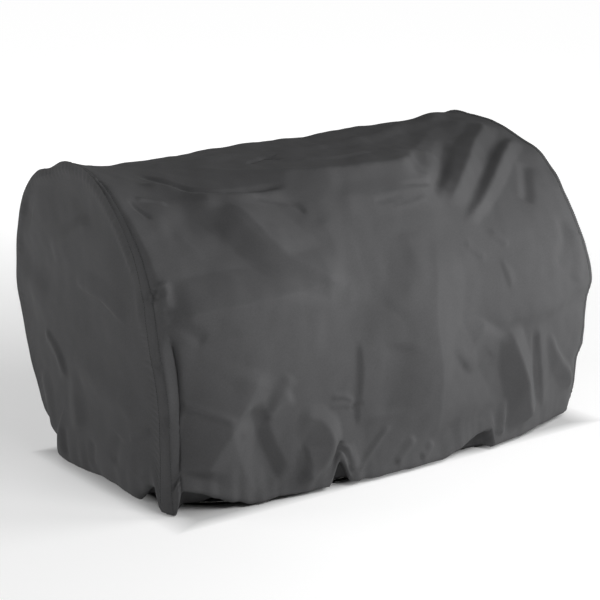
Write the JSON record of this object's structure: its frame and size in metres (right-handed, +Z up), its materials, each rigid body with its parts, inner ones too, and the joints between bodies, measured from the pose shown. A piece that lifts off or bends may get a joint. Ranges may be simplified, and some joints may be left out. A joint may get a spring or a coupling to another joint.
{
  "type": "grill cover",
  "caption": "Soft rounded charcoal cloth cover for a grill head, with D-shaped end panels, a long wrap panel and an elastic hem gathered under.",
  "frame": {"origin": "centre of the object's box in plan, on the plane that the hem rests on", "axes": "+X along the cover's length, towards the right-hand end as seen from the front; the front faces -Y; +Z is up"},
  "size_m": [0.838, 0.525, 0.4809],
  "materials": {
    "cover_cloth": "coated polyester, smooth, soft satin sheen",
    "hem_cloth": "the same coated polyester, folded and gathered",
    "seam_tape": "dark woven tape, matte",
    "thread": "black bonded thread",
    "elastic": "flat braided elastic, off-white"
  },
  "bodies": {
    "root": {"wrap_panel": "cover_cloth", "left_end_panel": "cover_cloth", "right_end_panel": "cover_cloth", "left_seam_tape": "seam_tape", "right_seam_tape": "seam_tape", "left_seam_stitching": "thread", "right_seam_stitching": "thread", "left_topstitching": "thread", "right_topstitching": "thread", "front_hem_casing": "hem_cloth", "rear_hem_casing": "hem_cloth", "left_hem_casing": "hem_cloth", "right_hem_casing": "hem_cloth", "hem_elastic": "elastic", "elastic_bar_tack": "thread", "hem_stitching": "thread"}
  },
  "joints": []
}
